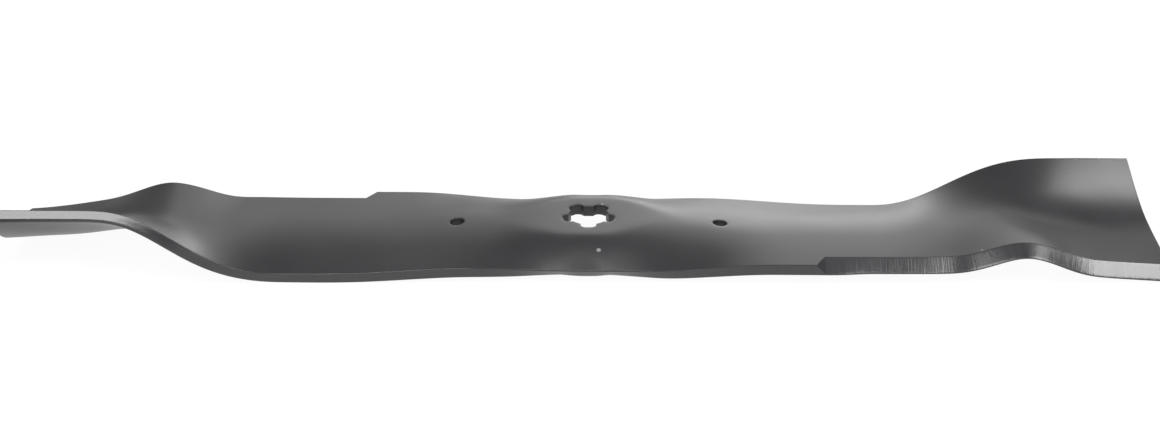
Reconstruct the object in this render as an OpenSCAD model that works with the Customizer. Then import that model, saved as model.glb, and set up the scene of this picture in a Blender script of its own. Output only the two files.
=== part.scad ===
// Rotary mower blade: one strip of steel with a domed hub, a five-lobed drive hole, two drooping arms,
// a ground cutting edge on the leading side and a raised wing on the trailing side of each tip.
// X runs along the blade, Z is the spindle axis, Z = 0 is the flat top of the hub pad.
// The blade is the same after half a turn about Z, but for the +X tip, which is trimmed back, most of all at its wing.
// For X > 0 the cutting edge is on the -Y side.
// All sizes in millimetres.

/* [Strip] */
// Diameter of the circle that the tips follow
blade_length = 538; // [510:1:580]
// Width of the strip
blade_width = 74; // [60:0.5:90]
// Thickness of the steel
thickness = 5.2; // [3:0.1:8]

/* [Hub] */
// Fall from the flat pad to the strip's edges beside it
hub_drop = 9.9; // [6:0.1:14]
// Half width of the flat pad across the strip
pad_half = 18; // [16:0.5:20]
// Half length of the flat pad along the strip
pad_run = 14.5; // [13.5:0.5:20]
// Width of the bend along both sides of the pad
hub_fold = 11.5; // [8:0.5:16]
// Fall of the crown line from the pad to the arms
crown_drop = 6; // [0:0.1:10]

/* [Drive hole] */
// Number of lobes
lobe_count = 5; // [3:1:8]
// Radius to the ends of the lobes
star_outer_r = 12.3; // [10.5:0.1:14]
// Radius between the lobes
star_inner_r = 9.3; // [6:0.1:10]
// Width of a lobe
lobe_width = 7.2; // [6:0.1:9]
// Corner radius of a lobe
lobe_corner_r = 2.6; // [0.5:0.1:2.9]
// Corner radius of the steel between two lobes
tooth_corner_r = 1.2; // [0.3:0.1:2]

/* [Side holes] */
// Distance between the two side holes
side_hole_spacing = 122.5; // [80:0.5:160]
// Diameter of a side hole
side_hole_d = 6.6; // [4:0.1:12]

/* [Tips] */
// Droop of the trailing edge along the arm
trail_droop = 3.5; // [0:0.1:8]
// Rise of the trailing edge up the wing
wing_rise = 28.1; // [10:0.1:40]
// Rise of the cutting edge to its hump
cut_hump = 9; // [0:0.1:15]
// Fall of the cutting edge beyond the hump
cut_fall = 7.2; // [0:0.1:15]
// Reach of the +X tip's trimmed end at the strip's middle line
trim_reach = 262.5; // [250:0.1:275]
// Slant of that end, set back per width towards the wing
trim_slant = 0.075; // [0:0.005:0.2]
// Curve of that end towards the wing's corner
trim_curve = 0.004; // [0:0.001:0.008]

/* [Cutting edge] */
// Distance from the hub to the start of the ground edge
grind_start = 102.3; // [60:0.1:180]
// Length of the run-out where the ground face begins
grind_runout = 4.7; // [2:0.1:12]
// Width of the ground face seen from above
grind_width = 7.7; // [3:0.1:14]
// Set-back of the ground edge from the strip's edge
edge_setback = 1.3; // [0:0.1:3]
// Height of the small land left under the ground face
edge_land = 0.6; // [0.3:0.1:2]

/* [Hidden] */

tip = blade_length / 2;
half_w = blade_width / 2;

// Each line along the blade starts at a height and is bent up or down between two distances from the hub:
// [where the bend starts, where it ends, how far it moves].
crown_bends = [[pad_run, 52, -0.42 * crown_drop], [28, 108, -0.58 * crown_drop], [126, 186, 2.5], [163, 200, 4.5],
    [190, 250, -5.5], [232, 298, -2.2]];
cut_bends = [[23, 91, 3.7], [160, 205, cut_hump], [194, 235, -cut_fall], [178, 290, -8.4]];
trail_bends = [[0, 72, 1.4], [40, 130, -trail_droop], [135, 223.5, wing_rise], [198, 239, 0.4]];
cut_side_bends = [[150, 178, -0.6], [186, 210, 1], [208, 276, -3.6]];
trail_side_bends = [[134, 175, 2.6], [168, 227, -8.6]];
// Set-back of the ground edge from the strip's edge.
setback_bends = [[grind_start + grind_runout, grind_start + 30, edge_setback], [185, 212, 0.4]];
// The fold between the crown and each flank: where it starts across the strip and how wide it is.
cut_fold_bends = [[0, 42, -16.5], [60, 120, 11], [122, 188, -15.5]];
trail_fold_bends = [[0, 66, -27.5], [128, 188, 16], [176, 220, -12.5], [236, 272, 3]];
cut_fold_width_bends = [[0, 20, 20], [38, 82, -11], [152, 190, -1], [222, 270, -15]];
trail_fold_width_bends = [[0, 30, 27.5], [36, 80, -10], [90, 150, 11], [148, 194, -20], [188, 288, 14]];

function ease(u) = u <= 0 ? 0 : u >= 1 ? 1 : u * u * u * (10 - 15 * u + 6 * u * u);
function line(base, bends, s, i = 0) =
    i >= len(bends) ? base
    : bends[i][2] * ease((s - bends[i][0]) / (bends[i][1] - bends[i][0])) + line(base, bends, s, i + 1);
// height lost across a fold that starts at v = 0 and is b wide, for a unit slope beyond it
function fold(v, b) = v < 0 ? 0 : v > b ? v - b / 2 : v * v / (2 * b);
function part01(v) = min(1, max(0, v));

function crown_z(s) = line(0, crown_bends, s);
function cut_z(s) = line(-hub_drop, cut_bends, s);
function trail_z(s) = line(-hub_drop, trail_bends, s);
function cut_y(s) = line(half_w, cut_side_bends, s);
function trail_y(s) = line(half_w, trail_side_bends, s);
function cut_fold(s) = line(pad_half, cut_fold_bends, s);
function trail_fold(s) = line(pad_half, trail_fold_bends, s);
function cut_fold_w(s) = line(hub_fold, cut_fold_width_bends, s);
function trail_fold_w(s) = line(hub_fold, trail_fold_width_bends, s);

// height of the top face over a plan point; the surface runs through the crown line and both edge lines
function top_z(x, y) =
    let (s = abs(x), v = x < 0 ? -y : y,
         zm = crown_z(s), zc = cut_z(s), zt = trail_z(s), yc = cut_y(s), yt = trail_y(s),
         fc = cut_fold(s), ft = trail_fold(s), bc = cut_fold_w(s), bt = trail_fold_w(s),
         c0 = fold(-fc, bc), t0 = fold(-ft, bt),
         a = fold(yc - fc, bc) - c0, b = fold(-yc - ft, bt) - t0,
         c = fold(-yt - fc, bc) - c0, d = fold(yt - ft, bt) - t0,
         det = a * d - b * c,
         kc = ((zm - zc) * d - b * (zm - zt)) / det,
         kt = (a * (zm - zt) - (zm - zc) * c) / det)
    zm - kc * (fold(-v - fc, bc) - c0) - kt * (fold(v - ft, bt) - t0);

function on_pad(x, y) = abs(x) <= pad_run && (x < 0 ? y : -y) <= cut_fold(abs(x)) + 0.01
    && (x < 0 ? -y : y) <= trail_fold(abs(x)) + 0.01;
function up(x, y, e = 0.2) = on_pad(x, y) ? [0, 0, 1] :
    let (gx = (top_z(x + e, y) - top_z(x - e, y)) / (2 * e), gy = (top_z(x, y + e) - top_z(x, y - e)) / (2 * e),
         l = sqrt(1 + gx * gx + gy * gy))
    [-gx / l, -gy / l, 1 / l];

// set-back of the ground edge at the top and at the bottom
function recess_top(s) = grind_width * part01((s - grind_start) / grind_runout);
function recess_low(s) = line(0, setback_bends, s);
// the ground face starts with a flat three-cornered facet, whose foot comes down to the land over the run-out
function foot(s) = s <= grind_start ? thickness / 2
    : max(0.25, (thickness - edge_land) * part01((s - grind_start) / grind_runout));

// rows across the strip: cutting edge, rim of the pad on both sides, trailing edge
rows_cut = 5;
rows_pad = 4;
rows_trail = 5;
rows = rows_cut + rows_pad + rows_trail;
row_pad_min = 9;
function row_y(s, j, recess) =
    let (a = -(cut_y(s) - recess), b = -max(row_pad_min, cut_fold(s)),
         c = max(row_pad_min, trail_fold(s)), d = trail_y(s))
    j <= rows_cut ? a + (b - a) * j / rows_cut
    : j <= rows_cut + rows_pad ? b + (c - b) * (j - rows_cut) / rows_pad
    : c + (d - c) * (j - rows_cut - rows_pad) / rows_trail;
// both ends follow the circle of the tips; the +X end is trimmed back, most of all at its wing
end_from = 225;
function reach(y, side) = let (arc = sqrt(tip * tip - y * y), w = max(0, y))
    side > 0 ? min(arc, trim_reach - trim_slant * y - trim_curve * w * w) : arc;
function end_x(s, y, side) =
    s <= end_from ? s : end_from + (s - end_from) * (reach(y, side) - end_from) / (tip - end_from);

// points of one half (s >= 0), then of the whole blade by the half turn
function half_point(s, j, recess, depth, side) =
    let (y = row_y(s, j, recess), x = end_x(s, y, side), p = [x, y, top_z(x, y)])
    depth == 0 ? p : p - depth * up(x, y);
function turned(p) = [-p[0], -p[1], p[2]];
function point(s, j, recess, depth) =
    s >= 0 ? half_point(s, j, recess, depth, 1) : turned(half_point(-s, rows - j, recess, depth, -1));
function top_point(s, j) = point(s, j, recess_top(abs(s)), 0);
function low_point(s, j) = point(s, j, recess_low(abs(s)), thickness);
function land_point(s, j) = point(s, j, recess_low(abs(s)), (s >= 0) == (j == 0) ? foot(abs(s)) : thickness - edge_land);

grind_stations = [for (v = [0 : 0.5 : 1.5]) grind_start + v * grind_runout];
plain_stations = concat([for (s = [4.75 : 4.75 : min(pad_run, 15)]) s], [for (s = [19 : 5 : 99]) s],
    [for (s = [104 : 5.75 : 144.25]) s], [for (s = [150 : 4.5 : 240]) s], [for (s = [246 : 5.5 : tip - 3]) s], [tip]);
half_stations = concat([for (s = plain_stations) if (s < grind_stations[0] - 1) s], grind_stations,
    [for (s = plain_stations) if (s > grind_stations[3] + 1) s]);
half_count = len(half_stations);
stations = concat([for (i = [half_count - 1 : -1 : 0]) -half_stations[i]], [0], half_stations);
count = len(stations);
loop = 2 * rows + 4;

// one closed loop of points around the strip at each station
function ring(s) = concat([for (j = [0 : rows]) top_point(s, j)], [land_point(s, rows)],
    [for (j = [rows : -1 : 0]) low_point(s, j)], [land_point(s, 0)]);
blade_points = [for (s = stations) each ring(s)];
function at(i, k) = i * loop + (k % loop);
blade_faces = concat(
    [for (i = [0 : count - 2]) for (k = [0 : loop - 1]) each
        [[at(i, k), at(i + 1, k), at(i + 1, k + 1)], [at(i, k), at(i + 1, k + 1), at(i, k + 1)]]],
    [for (j = [0 : rows - 1]) let (t = j, l = 2 * rows + 2 - j) each
        [[at(0, t), at(0, t + 1), at(0, l - 1)], [at(0, t), at(0, l - 1), at(0, l)]]],
    [[at(0, rows), at(0, rows + 1), at(0, rows + 2)], [at(0, 0), at(0, loop - 2), at(0, loop - 1)]],
    [for (j = [0 : rows - 1]) let (t = j, l = 2 * rows + 2 - j, n = count - 1) each
        [[at(n, t), at(n, l - 1), at(n, t + 1)], [at(n, t), at(n, l), at(n, l - 1)]]],
    [[at(count - 1, rows), at(count - 1, rows + 2), at(count - 1, rows + 1)],
     [at(count - 1, 0), at(count - 1, loop - 1), at(count - 1, loop - 2)]]);

// centre of the rounding at a corner of the steel between two lobes
tooth_y = lobe_width / 2 + tooth_corner_r;
tooth_x = sqrt(pow(star_inner_r + tooth_corner_r, 2) - tooth_y * tooth_y);

module star() {
    cut = thickness + 6;
    translate([0, 0, -thickness - 3]) {
        cylinder(r = star_inner_r, h = cut, $fn = 96);
        for (i = [0 : lobe_count - 1]) rotate([0, 0, -90 + i * 360 / lobe_count]) {
            translate([0, -lobe_width / 2, 0]) cube([star_outer_r - lobe_corner_r, lobe_width, cut]);
            translate([0, -lobe_width / 2 + lobe_corner_r, 0])
                cube([star_outer_r, lobe_width - 2 * lobe_corner_r, cut]);
            for (v = [-1, 1])
                translate([star_outer_r - lobe_corner_r, v * (lobe_width / 2 - lobe_corner_r), 0])
                    cylinder(r = lobe_corner_r, h = cut, $fn = 48);
            for (v = [0, 1]) mirror([0, v, 0]) difference() {
                linear_extrude(height = cut) polygon([[0, 0], [tooth_x, 0], [tooth_x, tooth_y]]);
                translate([tooth_x, tooth_y, -1]) cylinder(r = tooth_corner_r, h = cut + 2, $fn = 48);
            }
        }
    }
}

module blade() {
    color([0.13, 0.13, 0.14])
    difference() {
        polyhedron(points = blade_points, faces = blade_faces, convexity = 6);
        star();
        for (v = [-1, 1])
            translate([v * side_hole_spacing / 2, 0, -crown_drop - thickness - 4])
                cylinder(d = side_hole_d, h = crown_drop + thickness + 10, $fn = 64);
    }
}

blade();
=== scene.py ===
import math

import bpy
import numpy as np
from mathutils import Matrix, Vector
from mathutils.geometry import delaunay_2d_cdt


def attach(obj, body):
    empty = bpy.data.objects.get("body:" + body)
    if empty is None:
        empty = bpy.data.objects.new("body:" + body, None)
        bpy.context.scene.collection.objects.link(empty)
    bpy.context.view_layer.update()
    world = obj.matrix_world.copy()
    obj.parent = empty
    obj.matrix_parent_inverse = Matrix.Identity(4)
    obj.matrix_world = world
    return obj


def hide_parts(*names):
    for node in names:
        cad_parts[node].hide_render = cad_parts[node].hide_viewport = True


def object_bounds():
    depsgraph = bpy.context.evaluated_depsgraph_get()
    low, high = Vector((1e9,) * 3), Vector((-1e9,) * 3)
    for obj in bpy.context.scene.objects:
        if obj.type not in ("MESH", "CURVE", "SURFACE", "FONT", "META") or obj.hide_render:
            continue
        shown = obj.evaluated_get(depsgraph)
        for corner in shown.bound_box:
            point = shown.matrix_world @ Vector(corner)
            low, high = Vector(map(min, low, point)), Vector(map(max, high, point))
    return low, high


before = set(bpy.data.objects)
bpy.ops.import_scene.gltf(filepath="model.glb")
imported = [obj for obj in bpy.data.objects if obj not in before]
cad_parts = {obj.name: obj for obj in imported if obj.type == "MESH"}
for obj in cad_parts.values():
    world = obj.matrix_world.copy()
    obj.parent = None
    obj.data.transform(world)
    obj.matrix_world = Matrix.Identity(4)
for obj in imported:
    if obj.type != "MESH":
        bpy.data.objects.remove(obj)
cad_low, cad_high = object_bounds()

# ---------------------------------------------------------------------------------------------
# The blade's form, in millimetres: the same lines, bends and folds as the CAD model.
# s is the distance from the hub along the blade, v runs from the cutting edge (-) to the
# trailing edge (+). The other half is the same after half a turn.
# ---------------------------------------------------------------------------------------------
TIP, HALF_W, THICK = 269.0, 37.0, 5.2
HUB_DROP, PAD_HALF, PAD_RUN, HUB_FOLD = 9.9, 18.0, 14.5, 11.5
GRIND_START, RUNOUT, GRIND_WIDTH, LAND = 102.3, 4.7, 7.7, 0.6
END_FROM, TRIM_REACH, TRIM_SLANT, TRIM_CURVE = 225.0, 262.5, 0.075, 0.004
STAR_R, STAR_IN, LOBE_W, LOBE_CORNER, LOBES = 12.3, 9.3, 7.2, 2.6, 5
SIDE_X, SIDE_R = 61.25, 3.3

CROWN = [(PAD_RUN, 52, -2.5), (28, 108, -3.5), (126, 186, 2.5), (163, 200, 4.5), (190, 250, -5.5), (232, 298, -2.2)]
CUT = [(23, 91, 3.7), (160, 205, 9.0), (194, 235, -7.2), (178, 290, -8.4)]
TRAIL = [(0, 72, 1.4), (40, 130, -3.5), (135, 223.5, 28.1), (198, 239, 0.4)]
CUT_SIDE = [(150, 178, -0.6), (186, 210, 1.0), (208, 276, -3.6)]
TRAIL_SIDE = [(134, 175, 2.6), (168, 227, -8.6)]
SETBACK = [(GRIND_START + RUNOUT, GRIND_START + 30, 1.3), (185, 212, 0.4)]
CUT_FOLD = [(0, 42, -16.5), (60, 120, 11.0), (122, 188, -15.5)]
TRAIL_FOLD = [(0, 66, -27.5), (128, 188, 16.0), (176, 220, -12.5), (236, 272, 3.0)]
CUT_FOLD_W = [(0, 20, 20.0), (38, 82, -11.0), (152, 190, -1.0), (222, 270, -15.0)]
TRAIL_FOLD_W = [(0, 30, 27.5), (36, 80, -10.0), (90, 150, 11.0), (148, 194, -20.0), (188, 288, 14.0)]


def ease(u):
    u = np.clip(u, 0.0, 1.0)
    return u * u * u * (10 - 15 * u + 6 * u * u)


def line(base, bends, s):
    out = np.full(np.shape(s), float(base))
    for a, b, d in bends:
        out = out + d * ease((s - a) / (b - a))
    return out


def bent(v, b):
    return np.where(v < 0, 0.0, np.where(v > b, v - b / 2, v * v / (2 * b)))


def fold(v, b, soft=2.0):
    # the bend's two ends are eased over a few millimetres, as a press leaves them
    return (bent(v - soft, b) + 2 * bent(v, b) + bent(v + soft, b)) / 4


def top_z(x, y):
    s = np.abs(x)
    v = np.where(x < 0, -y, y)
    zm, zc, zt = line(0, CROWN, s), line(-HUB_DROP, CUT, s), line(-HUB_DROP, TRAIL, s)
    yc, yt = line(HALF_W, CUT_SIDE, s), line(HALF_W, TRAIL_SIDE, s)
    fc, ft = line(PAD_HALF, CUT_FOLD, s), line(PAD_HALF, TRAIL_FOLD, s)
    bc, bt = line(HUB_FOLD, CUT_FOLD_W, s), line(HUB_FOLD, TRAIL_FOLD_W, s)
    c0, t0 = fold(-fc, bc), fold(-ft, bt)
    a, b = fold(yc - fc, bc) - c0, fold(-yc - ft, bt) - t0
    c, d = fold(-yt - fc, bc) - c0, fold(yt - ft, bt) - t0
    det = a * d - b * c
    kc = ((zm - zc) * d - b * (zm - zt)) / det
    kt = (a * (zm - zt) - (zm - zc) * c) / det
    return zm - kc * (fold(-v - fc, bc) - c0) - kt * (fold(v - ft, bt) - t0)


def up(x, y, e=0.15):
    gx = (top_z(x + e, y) - top_z(x - e, y)) / (2 * e)
    gy = (top_z(x, y + e) - top_z(x, y - e)) / (2 * e)
    n = np.stack([-gx, -gy, np.ones_like(gx)], -1)
    return n / np.linalg.norm(n, axis=-1, keepdims=True)


def end_x(s, y, side):
    # both ends follow the tip circle; the +X end is trimmed back, most of all at its wing
    reach = np.sqrt(TIP * TIP - y * y)
    if side > 0:
        reach = np.minimum(reach, TRIM_REACH - TRIM_SLANT * y - TRIM_CURVE * np.maximum(y, 0) ** 2)
    return np.where(s <= END_FROM, s, END_FROM + (s - END_FROM) * (reach - END_FROM) / (TIP - END_FROM))


def low_z(x, y):
    # height of the under face over a plan point
    px, py = np.array(x, float), np.array(y, float)
    for _ in range(6):
        n = up(px, py)
        px, py = x + THICK * n[..., 0], y + THICK * n[..., 1]
    return top_z(px, py) - THICK * up(px, py)[..., 2]


# ---- stations along the half blade and rows across it ----
def steps(a, b, step):
    n = max(1, int(round((b - a) / step)))
    return [a + (b - a) * i / n for i in range(n)]


PATCH, SIDE_PATCH = 20.0, 8.0      # half sizes of the squares that are refilled around the holes
half = (steps(0, PATCH, 2) + steps(PATCH, SIDE_X - SIDE_PATCH, 2) + steps(SIDE_X - SIDE_PATCH, SIDE_X + SIDE_PATCH, 2)
        + steps(SIDE_X + SIDE_PATCH, 100, 2.2) + steps(100, GRIND_START, 0.6) + [GRIND_START] + steps(GRIND_START + 0.02, GRIND_START + RUNOUT, 0.5)
        + steps(GRIND_START + RUNOUT, 114, 0.7) + steps(114, 150, 2.2)
        + steps(150, 240, 1.5) + steps(240, TIP - 2, 1.6) + steps(TIP - 2, TIP - 0.5, 0.5) + [TIP - 0.5])
END_R = 0.5
end_angles = [math.radians(a) for a in (30, 60, 90)]
S = np.array(half + [TIP - END_R + END_R * math.sin(a) for a in end_angles])
END_IN = np.array([0.0] * len(half) + [END_R * (1 - math.cos(a)) for a in end_angles])

near = np.array([0, 0.35, 1.0, 2.2, 4.2, 7.0, 10.0, 13.0, 16.0]) / 16.0
mid = np.linspace(-PATCH, PATCH, 21)


def row_line(a, d):
    # rows from a (cutting side) to d (trailing side), straight lines 2 mm apart in the middle
    one = a[:, None] + (-PATCH - a)[:, None] * near[None, :-1]
    two = np.repeat(mid[None, :], len(a), 0)
    three = d[:, None] + (PATCH - d)[:, None] * near[None, ::-1][:, 1:]
    return np.concatenate([one, two, three], 1)


def curve2(a, c, b, n):
    t = (np.arange(1, n + 1) / n)[None, :, None]
    return (1 - t) ** 2 * a[:, None] + 2 * t * (1 - t) * c[:, None] + t * t * b[:, None]


def unit(v):
    return v / np.maximum(np.linalg.norm(v, axis=-1, keepdims=True), 1e-9)


def edge_profile(y_top, y_mid, y_low, depth, inward, r0, r1, r2):
    # rounded upper corner, face or ground bevel, land, rounded lower corner; (across, depth) pairs
    z = np.zeros_like(y_top)
    c0 = np.stack([y_top, z], -1)
    c1 = np.stack([y_mid, depth], -1)
    c2 = np.stack([y_low, z + THICK], -1)
    d01, d12 = unit(c1 - c0), unit(c2 - c1)
    l01, l12 = np.linalg.norm(c1 - c0, axis=-1), np.linalg.norm(c2 - c1, axis=-1)
    side = np.stack([z + inward, z], -1)
    r0 = np.minimum(r0, 0.5 * l01)[:, None]
    r1 = np.minimum(np.minimum(r1, 0.3 * l01), 0.3 * l12)[:, None]
    r2 = np.minimum(r2, 0.6 * l12)[:, None]
    a0, b0 = c0 + side * r0, c0 + d01 * r0
    a1, b1 = c1 - d01 * r1, c1 + d12 * r1
    a2, b2 = c2 - d12 * r2, c2 + side * r2
    t = (np.arange(1, 8) / 7)[None, :, None]
    face = b0[:, None] * (1 - t) + a1[:, None] * t
    return np.concatenate([curve2(a0, c0, b0, 5), face, curve2(a1, c1, b1, 3), a2[:, None], curve2(a2, c2, b2, 5)], 1)


# the ground face starts with a flat three-cornered facet
part = np.clip((S - GRIND_START) / RUNOUT, 0, 1)
foot = np.where(S <= GRIND_START, 2.5, np.maximum(0.25, (THICK - LAND) * part))
yc, yt = line(HALF_W, CUT_SIDE, S), line(HALF_W, TRAIL_SIDE, S)
cut_top, cut_low = -(yc - GRIND_WIDTH * part), -(yc - line(0, SETBACK, S))
r0_cut = 0.45 - 0.3 * part
r1_cut = 0.12 + 0 * S
r2_cut = 0.25 - 0.1 * part
r0_trail, r2_trail = 0.45 + 0 * S, 0.25 + 0 * S
# the sheared trailing edge leans in towards the tip, and its broken foot a little more
lean = 0.8 * np.clip((S - 222) / 40, 0, 1)
yt_mid, yt_low = yt - lean, yt - lean - 0.5 * np.clip((S - 180) / 30, 0, 1)

edge_cut = edge_profile(cut_top, cut_low, cut_low, foot, 1.0, r0_cut, r1_cut, r2_cut)
edge_trail = edge_profile(yt, yt_mid, yt_low, 4.0 + 0 * S, -1.0, r0_trail, r1_cut, r2_trail)
rows_top = row_line(cut_top + np.minimum(r0_cut, 0.5 * np.hypot(cut_low - cut_top, foot)), yt - r0_trail)
rows_low = row_line(edge_cut[:, -1, 0], edge_trail[:, -1, 0])
NR, NE = rows_top.shape[1], edge_cut.shape[1] - 1      # the edge's last point is the under face's first


def lay(across, depth, side):
    # points of a half blade from (station, across, depth); the end's corners are rounded
    depth = np.clip(depth, END_IN[:, None], THICK - END_IN[:, None])
    across = np.minimum(across, (yt - END_IN)[:, None])
    s = np.repeat(S[:, None], across.shape[1], 1)
    x = end_x(s, across, side)
    p = np.stack([x, across, top_z(x, across)], -1)
    return (p - depth[..., None] * up(x, across)) * np.array([side, side, 1.0])


def half_blade(side):
    return (lay(rows_top, 0 * rows_top, side), lay(edge_cut[:, :-1, 0], edge_cut[:, :-1, 1], side),
            lay(rows_low, 0 * rows_low + THICK, side), lay(edge_trail[:, :-1, 0], edge_trail[:, :-1, 1], side))


# distance along each edge profile, for the marks that run along or across it
run_cut = np.concatenate([np.zeros((len(S), 1)), np.cumsum(np.linalg.norm(np.diff(edge_cut[:, :-1], axis=1), axis=2), 1)], 1)
run_trail = np.concatenate([np.zeros((len(S), 1)), np.cumsum(np.linalg.norm(np.diff(edge_trail[:, :-1], axis=1), axis=2), 1)], 1)


LOOP = 2 * NR + 2 * NE
rings, maps = [], []
none = -np.ones(NR)
top, cut, under, trail = half_blade(-1)
for i in range(len(S) - 1, 0, -1):
    rings.append(np.concatenate([top[i][::-1], cut[i], under[i], trail[i][::-1]]))
    maps.append(np.concatenate([none, run_cut[i], none, run_trail[i][::-1]]))
top, cut, under, trail = half_blade(1)
for i in range(len(S)):
    rings.append(np.concatenate([top[i], trail[i], under[i][::-1], cut[i][::-1]]))
    maps.append(np.concatenate([none, run_trail[i], none, run_cut[i][::-1]]))
rings, maps = np.array(rings), np.array(maps)
NS = len(rings)
along = np.concatenate([-S[:0:-1], S])
verts = [tuple(p) for p in rings.reshape(-1, 3)]
uvs = [(along[i], maps[i, k]) for i in range(NS) for k in range(LOOP)]
faces, mats = [], []
PAINT, SHEAR, GROUND, PUNCH = 0, 1, 2, 3


def vid(i, k):
    return i * LOOP + k % LOOP


def in_patch(i, row):
    # is this cell of the top or under face inside one of the squares around the holes?
    x0, x1 = along[i], along[i + 1]
    y0, y1 = -PATCH + 2 * (row - 8), -PATCH + 2 * (row - 7)
    if not 8 <= row < 28:
        return None
    if x0 >= -PATCH - 1e-6 and x1 <= PATCH + 1e-6:
        return 0
    for n, c in ((1, SIDE_X), (2, -SIDE_X)):
        if x0 >= c - SIDE_PATCH - 1e-6 and x1 <= c + SIDE_PATCH + 1e-6 and y0 >= -SIDE_PATCH - 1e-6 and y1 <= SIDE_PATCH + 1e-6:
            return n
    return None


rim = {(n, f): {} for n in (0, 1, 2) for f in ("top", "low")}
for i in range(NS - 1):
    for k in range(LOOP):
        quad = (vid(i, k), vid(i + 1, k), vid(i + 1, k + 1), vid(i, k + 1))
        where = None
        if k < NR - 1:
            where, hole, mat = "top", in_patch(i, k), PAINT
        elif NR + NE <= k < 2 * NR + NE - 1:
            row = NR - 2 - (k - NR - NE)
            where, hole, mat = "low", in_patch(i, row), PAINT
        else:
            hole = None
            front = k >= 2 * NR + NE - 1
            cutting = front == (along[i] + along[i + 1] > 0)
            s = abs(along[i] + along[i + 1]) / 2
            mat = GROUND if cutting and s > GRIND_START else SHEAR
        if hole is not None:
            for a, b in zip(quad, quad[1:] + quad[:1]):
                if (b, a) in rim[hole, where]:
                    del rim[hole, where][(b, a)]
                else:
                    rim[hole, where][(a, b)] = True
            continue
        faces.append(quad)
        mats.append(mat)
for i, flip in ((0, False), (NS - 1, True)):
    for j in range(NR - 1):
        quad = (vid(i, j), vid(i, j + 1), vid(i, 2 * NR + NE - 2 - j), vid(i, 2 * NR + NE - 1 - j))
        faces.append(quad[::-1] if flip else quad)
        mats.append(SHEAR)
    back = [vid(i, k) for k in range(NR - 1, NR + NE + 1)]
    front = [vid(i, k) for k in range(2 * NR + NE - 1, LOOP)] + [vid(i, 0)]
    for poly in (back, front):
        faces.append(tuple(poly[::-1] if flip else poly))
        mats.append(SHEAR)


# ---- the holes: rounded rims, walls and the faces around them ----
def star_outline(per=7):
    pts = []
    hw, rf = LOBE_W / 2, 1.2
    cx, cy = math.sqrt((STAR_IN + rf) ** 2 - (hw + rf) ** 2), hw + rf
    a_in = math.atan2(cy, cx)
    half_lobe = []
    n = 9
    for j in range(n):                                   # between two lobes
        a = math.pi / LOBES + (a_in - math.pi / LOBES) * j / n
        half_lobe.append((STAR_IN * math.cos(a), STAR_IN * math.sin(a)))
    start, stop = math.atan2(-cy, -cx), -math.pi / 2     # tooth corner
    for j in range(per):
        a = start + (stop - start) * j / per
        half_lobe.append((cx + rf * math.cos(a), cy + rf * math.sin(a)))
    for j in range(3):                                   # lobe side
        half_lobe.append((cx + (STAR_R - LOBE_CORNER - cx) * j / 3, hw))
    for j in range(10):                                  # lobe corner
        a = math.pi / 2 * (1 - j / 10)
        half_lobe.append((STAR_R - LOBE_CORNER + LOBE_CORNER * math.cos(a), hw - LOBE_CORNER + LOBE_CORNER * math.sin(a)))
    for j in range(4):                                   # lobe end
        half_lobe.append((STAR_R, (hw - LOBE_CORNER) * (1 - j / 4)))
    whole = half_lobe + [(STAR_R, 0.0)] + [(x, -y) for x, y in half_lobe[:0:-1]]
    for lobe in range(LOBES):
        a = -math.pi / 2 - lobe * 2 * math.pi / LOBES
        for x, y in whole:
            pts.append((x * math.cos(a) - y * math.sin(a), x * math.sin(a) + y * math.cos(a)))
    return np.array(pts)[::-1]                           # anticlockwise


def circle_outline(cx, cy, r, n=72):
    a = np.arange(n) * 2 * math.pi / n
    return np.stack([cx + r * np.cos(a), cy + r * np.sin(a)], -1)


def outward(loop):
    t = np.roll(loop, -1, 0) - np.roll(loop, 1, 0)
    n = np.stack([t[:, 1], -t[:, 0]], -1)
    return unit(n)


def inside(poly, pts):
    # which of the points lie inside the closed outline
    pts = np.asarray(pts, float).reshape(-1, 2)
    x, y = pts[:, 0, None], pts[:, 1, None]
    x0, y0 = poly[:, 0][None], poly[:, 1][None]
    x1, y1 = np.roll(x0, -1, 1), np.roll(y0, -1, 1)
    rise = np.where(np.abs(y1 - y0) < 1e-12, 1e-12, y1 - y0)
    hit = ((y0 > y) != (y1 > y)) & (x < (x1 - x0) * (y - y0) / rise + x0)
    return hit.sum(1) % 2 == 1


def add_vertex(p, uv):
    verts.append(tuple(p))
    uvs.append(uv)
    return len(verts) - 1


def chain(edges):
    follow = dict(list(edges))
    first = next(iter(follow))
    out = [first]
    while follow[out[-1]] != first:
        out.append(follow[out[-1]])
    return out


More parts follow.
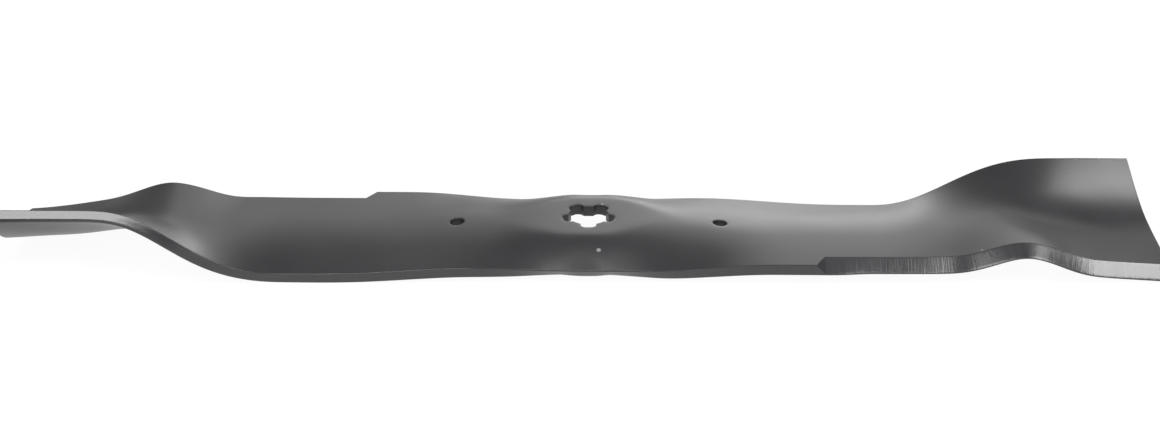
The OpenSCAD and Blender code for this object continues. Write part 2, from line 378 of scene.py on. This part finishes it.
def refill(border, ring_ids, ring_xy, height, flip, spread):
    # triangles between the square's border and the hole's outer ring
    bxy = np.array([verts[b][:2] for b in border])
    nb, nr = len(border), len(ring_xy)
    edges = [(j, (j + 1) % nb) for j in range(nb)] + [(nb + j, nb + (j + 1) % nr) for j in range(nr)]
    lo, hi = bxy.min(0), bxy.max(0)
    gx, gy = np.meshgrid(np.arange(lo[0] + spread, hi[0] - spread / 2, spread), np.arange(lo[1] + spread, hi[1] - spread / 2, spread))
    grid = np.stack([gx.ravel(), gy.ravel()], -1)
    far = np.sqrt(((grid[:, None] - ring_xy[None]) ** 2).sum(-1)).min(1)
    edge = np.minimum(grid - lo, hi - grid).min(1)
    grid = grid[(far > spread * 0.7) & (edge > spread * 0.6) & ~inside(ring_xy, grid)]
    pts = [Vector(p) for p in np.concatenate([bxy, ring_xy, grid])]
    out_v, _, out_f, src_v, _, _ = delaunay_2d_cdt(pts, edges, [], 0, 1e-5)
    ids = {}
    for j, src in enumerate(src_v):
        for o in src:
            if o < nb:
                ids[j] = border[o]
            elif o < nb + nr:
                ids[j] = ring_ids[o - nb]
    flat = np.array([v[:] for v in out_v])
    centres = np.array([flat[list(f)].mean(0) for f in out_f])
    keep = inside(bxy, centres) & ~inside(ring_xy, centres)
    heights = height(flat[:, 0], flat[:, 1])
    for f, ok in zip(out_f, keep):
        if not ok:
            continue
        for j in f:
            if j not in ids:
                ids[j] = add_vertex((flat[j, 0], flat[j, 1], heights[j]), (flat[j, 0], -1.0))
        tri = [ids[j] for j in f]
        faces.append(tuple(tri[::-1] if flip else tri))
        mats.append(PAINT)


def hole(n, loop, r_top, r_low, spread):
    out = outward(loop)
    rings_ids, ring_top, ring_low = [], None, None
    zt_wall = top_z(loop[:, 0], loop[:, 1])
    zl_wall = low_z(loop[:, 0], loop[:, 1])
    path = []
    for a in (0, 22.5, 45, 67.5, 90):
        a = math.radians(a)
        path.append(("top", r_top * (1 - math.sin(a)), r_top * (1 - math.cos(a))))
    for f in (0.2, 0.4, 0.6, 0.8):
        path.append(("wall", 0.0, f))
    for a in (90, 60, 30, 0):
        a = math.radians(a)
        path.append(("low", r_low * (1 - math.sin(a)), r_low * (1 - math.cos(a))))
    length = np.concatenate([[0], np.cumsum(np.hypot(*np.diff(np.vstack([loop, loop[:1]]), axis=0).T))])[:-1]
    for kind, off, d in path:
        xy = loop + out * off
        if kind == "top":
            z = top_z(xy[:, 0], xy[:, 1]) - d
        elif kind == "low":
            z = low_z(xy[:, 0], xy[:, 1]) + d
        else:
            a, b = zt_wall - r_top, zl_wall + r_low
            z = a + (b - a) * d
        ids = [add_vertex((x, y, h), (l, float(zt - h))) for (x, y), h, l, zt in zip(xy, z, length, zt_wall)]
        rings_ids.append((ids, xy))
    m = len(loop)
    for (a, _), (b, _) in zip(rings_ids, rings_ids[1:]):
        for j in range(m):
            faces.append((a[j], b[j], b[(j + 1) % m], a[(j + 1) % m])[::-1])
            mats.append(PUNCH)
    refill(chain(rim[n, "top"]), rings_ids[0][0], rings_ids[0][1], top_z, False, spread)
    refill(chain(rim[n, "low"])[::-1], rings_ids[-1][0], rings_ids[-1][1], low_z, True, spread)


hole(0, star_outline(), 0.3, 0.25, 1.6)
hole(1, circle_outline(SIDE_X, 0.0, SIDE_R), 0.35, 0.2, 1.3)
hole(2, circle_outline(-SIDE_X, 0.0, SIDE_R), 0.35, 0.2, 1.3)

mesh = bpy.data.meshes.new("blade_body")
mesh.from_pydata([(x / 1000, y / 1000, z / 1000) for x, y, z in verts], [], faces)
layer = mesh.uv_layers.new(name="marks")
loop_v = np.zeros(len(mesh.loops), np.int32)
mesh.loops.foreach_get("vertex_index", loop_v)
layer.data.foreach_set("uv", (np.array(uvs, float)[loop_v] / 1000).astype(np.float32).ravel())
mesh.polygons.foreach_set("material_index", np.array(mats, np.int32))
mesh.polygons.foreach_set("use_smooth", np.ones(len(mesh.polygons), bool))
mesh.validate()
mesh.set_sharp_from_angle(angle=math.radians(35))
mesh.update()
blade = bpy.data.objects.new("blade_body", mesh)
bpy.context.scene.collection.objects.link(blade)


# ---------------------------------------------------------------------------------------------
# Materials
# ---------------------------------------------------------------------------------------------
def new_material(name):
    m = bpy.data.materials.new(name)
    m.use_nodes = True
    nt = m.node_tree
    return m, nt, nt.nodes["Principled BSDF"]


def node(nt, kind, **values):
    n = nt.nodes.new(kind)
    for k, v in values.items():
        if k in n.inputs:
            n.inputs[k].default_value = v
        else:
            setattr(n, k, v)
    return n


def ramp(nt, fac, stops):
    r = node(nt, "ShaderNodeValToRGB")
    while len(r.color_ramp.elements) < len(stops):
        r.color_ramp.elements.new(0.5)
    for e, (pos, col) in zip(r.color_ramp.elements, stops):
        e.position = pos
        e.color = col if len(col) == 4 else (*col, 1.0)
    nt.links.new(fac, r.inputs["Fac"])
    return r.outputs["Color"]


def grey(g, tint=0.0):
    return (g, g, g * (1 + tint))


def joined(nt, fine, mask):
    # one factor from a fine pattern (lower half) and a mask that lifts it into the upper half
    half = node(nt, "ShaderNodeMath", operation="MULTIPLY")
    half.inputs[1].default_value = 0.5
    nt.links.new(mask, half.inputs[0])
    both = node(nt, "ShaderNodeMath", operation="MULTIPLY_ADD")
    both.inputs[1].default_value = 0.5
    nt.links.new(fine, both.inputs[0])
    nt.links.new(half.outputs[0], both.inputs[2])
    return both.outputs[0]


# small chips in the paint: place on the blade and radius, in millimetres
CHIPS = [((4.7, -28.3, -3.7), 1.2), ((178.1, -27.6, -2.9), 0.6), ((231.8, 30.7, 15.9), 0.6), ((6.4, 11.6, 0.0), 0.9)]


def chip_mask(nt, where):
    out = None
    for place, r in CHIPS:
        far = node(nt, "ShaderNodeVectorMath", operation="DISTANCE")
        far.inputs[1].default_value = [c / 1000 for c in place]
        nt.links.new(where, far.inputs[0])
        near_it = node(nt, "ShaderNodeMapRange")
        for k, v in (("From Min", 0.7 * r / 1000), ("From Max", r / 1000), ("To Min", 1.0), ("To Max", 0.0)):
            near_it.inputs[k].default_value = v
        nt.links.new(far.outputs["Value"], near_it.inputs["Value"])
        if out is None:
            out = near_it.outputs["Result"]
        else:
            most = node(nt, "ShaderNodeMath", operation="MAXIMUM")
            nt.links.new(out, most.inputs[0])
            nt.links.new(near_it.outputs["Result"], most.inputs[1])
            out = most.outputs[0]
    return out


def paint_material():
    m, nt, b = new_material("satin_paint")
    co = node(nt, "ShaderNodeTexCoord")
    cloud = node(nt, "ShaderNodeTexNoise", Scale=28.0, Detail=3.0, Roughness=0.55)
    nt.links.new(co.outputs["Object"], cloud.inputs["Vector"])
    fac = joined(nt, cloud.outputs["Fac"], chip_mask(nt, co.outputs["Object"]))
    nt.links.new(ramp(nt, fac, [(0.15, grey(0.030, 0.06)), (0.35, grey(0.036, 0.06)), (0.45, grey(0.04)), (0.65, grey(0.22))]), b.inputs["Base Color"])
    nt.links.new(ramp(nt, fac, [(0.15, grey(0.33)), (0.35, grey(0.38)), (0.65, grey(0.5))]), b.inputs["Roughness"])
    peel = node(nt, "ShaderNodeTexNoise", Scale=900.0, Detail=2.0, Roughness=0.5)
    nt.links.new(co.outputs["Object"], peel.inputs["Vector"])
    bump = node(nt, "ShaderNodeBump", Strength=0.06, Distance=0.0002)
    nt.links.new(peel.outputs["Fac"], bump.inputs["Height"])
    nt.links.new(bump.outputs["Normal"], b.inputs["Normal"])
    return m


def streak_material(name, along_scale, across_scale, strength, low, high, rough, rough_tip, tip_from, tip_to):
    # fine streaks along or across an edge; the finish changes from rough to rough_tip towards the tips
    m, nt, b = new_material(name)
    uv = node(nt, "ShaderNodeUVMap", uv_map="marks")
    mp = node(nt, "ShaderNodeMapping")
    mp.inputs["Scale"].default_value = (along_scale, across_scale, 1.0)
    nt.links.new(uv.outputs["UV"], mp.inputs["Vector"])
    tex = node(nt, "ShaderNodeTexNoise", Scale=1.0, Detail=3.0, Roughness=0.6)
    nt.links.new(mp.outputs["Vector"], tex.inputs["Vector"])
    nt.links.new(ramp(nt, tex.outputs["Fac"], [(0.3, grey(low, 0.06)), (0.7, grey(high, 0.06))]), b.inputs["Base Color"])
    parts = node(nt, "ShaderNodeSeparateXYZ")
    nt.links.new(uv.outputs["UV"], parts.inputs[0])
    out_x = node(nt, "ShaderNodeMath", operation="ABSOLUTE")
    nt.links.new(parts.outputs["X"], out_x.inputs[0])
    at_tip = node(nt, "ShaderNodeMapRange")
    for k, v in (("From Min", tip_from / 1000), ("From Max", tip_to / 1000), ("To Min", 0.0), ("To Max", 1.0)):
        at_tip.inputs[k].default_value = v
    nt.links.new(out_x.outputs[0], at_tip.inputs["Value"])
    fac = joined(nt, tex.outputs["Fac"], at_tip.outputs["Result"])
    nt.links.new(ramp(nt, fac, [(0.15, grey(rough - 0.04)), (0.35, grey(rough + 0.05)), (0.65, grey(rough_tip - 0.03)), (0.85, grey(rough_tip + 0.03))]), b.inputs["Roughness"])
    bump = node(nt, "ShaderNodeBump", Strength=strength, Distance=0.0003)
    nt.links.new(tex.outputs["Fac"], bump.inputs["Height"])
    nt.links.new(bump.outputs["Normal"], b.inputs["Normal"])
    return m


for m in (paint_material(),
          streak_material("sheared_edge", 60.0, 2600.0, 0.12, 0.032, 0.040, 0.25, 0.16, 195, 215),
          streak_material("ground_edge", 1500.0, 50.0, 0.20, 0.034, 0.044, 0.21, 0.17, 214, 228),
          streak_material("punched_wall", 1500.0, 500.0, 0.35, 0.014, 0.022, 0.42, 0.42, 300, 400)):
    mesh.materials.append(m)
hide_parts("blade")
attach(blade, "root")

# ---------------------------------------------------------------------------------------------
# Floor, light and camera
# ---------------------------------------------------------------------------------------------
scene = bpy.context.scene
floor_z = cad_low.z - 0.0002
fm = bpy.data.meshes.new("floor")
fm.from_pydata([(-6, -6, floor_z), (6, -6, floor_z), (6, 6, floor_z), (-6, 6, floor_z)], [], [(0, 1, 2, 3)])
floor = bpy.data.objects.new("floor", fm)
scene.collection.objects.link(floor)
mat, nt, b = new_material("pale_floor")
b.inputs["Base Color"].default_value = (0.06, 0.06, 0.06, 1)
b.inputs["Roughness"].default_value = 0.8
b.inputs["Specular IOR Level"].default_value = 0.0
b.inputs["Emission Color"].default_value = (1, 1, 1, 1)
b.inputs["Emission Strength"].default_value = 0.95
fm.materials.append(mat)

world = bpy.data.worlds.new("studio")
scene.world = world
world.use_nodes = True
world.node_tree.nodes["Background"].inputs["Color"].default_value = (1, 1, 1, 1)
world.node_tree.nodes["Background"].inputs["Strength"].default_value = 0.02


def panel(name, direction, size, radiance, shape="RECTANGLE", distance=3.0, target=(0, 0, -0.005)):
    light = bpy.data.lights.new(name, "AREA")
    light.shape = shape
    light.size, light.size_y = size
    area = size[0] * size[1] * (math.pi / 4 if shape == "ELLIPSE" else 1.0)
    light.energy = radiance * math.pi * area
    o = bpy.data.objects.new(name, light)
    d = Vector(direction).normalized()
    o.location = Vector(target) + d * distance
    o.rotation_mode = "QUATERNION"
    o.rotation_quaternion = d.to_track_quat("Z", "Y")
    o.visible_camera = False
    scene.collection.objects.link(o)
    return o


# two softboxes in front, a low strip and a soft backdrop behind, weak fills
panel("key_right", (0.52, -0.33, 0.79), (1.45, 1.45), 14.0, "ELLIPSE")
panel("front_left", (-0.32, -0.60, 0.73), (0.95, 2.18), 11.0)
panel("back_strip", (0.25, 0.95, 0.21), (1.72, 0.52), 4.6)
panel("backdrop", (0.30, 0.82, 0.45), (3.9, 1.83), 1.13)
panel("backdrop_left", (-0.30, 0.86, 0.42), (1.6, 1.6), 0.2)
panel("left_fill", (-0.87, 0.45, 0.24), (1.6, 1.2), 1.13)
panel("overhead", (0.30, 0.0, 0.95), (1.0, 1.0), 0.4, "ELLIPSE")

# the photograph's camera: 26.4 degrees down on the hub from 850 mm, a trace of roll
cam_data = bpy.data.cameras.new("camera")
cam = bpy.data.objects.new("camera", cam_data)
scene.collection.objects.link(cam)
scene.camera = cam
elev, dist = math.radians(26.4), 0.850
cam.location = (0, -dist * math.cos(elev), dist * math.sin(elev))
cam.rotation_mode = "QUATERNION"
look = Matrix.Rotation(math.pi / 2 - elev, 4, "X") @ Matrix.Rotation(math.radians(0.3), 4, "Z")
cam.rotation_quaternion = look.to_quaternion()
cam_data.sensor_fit = "HORIZONTAL"
cam_data.sensor_width = 36.0
cam_data.lens = 36.0 * 1827 / 1160
cam_data.shift_x = -8.5 / 1160
cam_data.shift_y = -7.4 / 1160
cam_data.clip_start, cam_data.clip_end = 0.01, 50
cam_data.dof.use_dof = False

scene.view_settings.view_transform = "Standard"
scene.view_settings.look = "None"
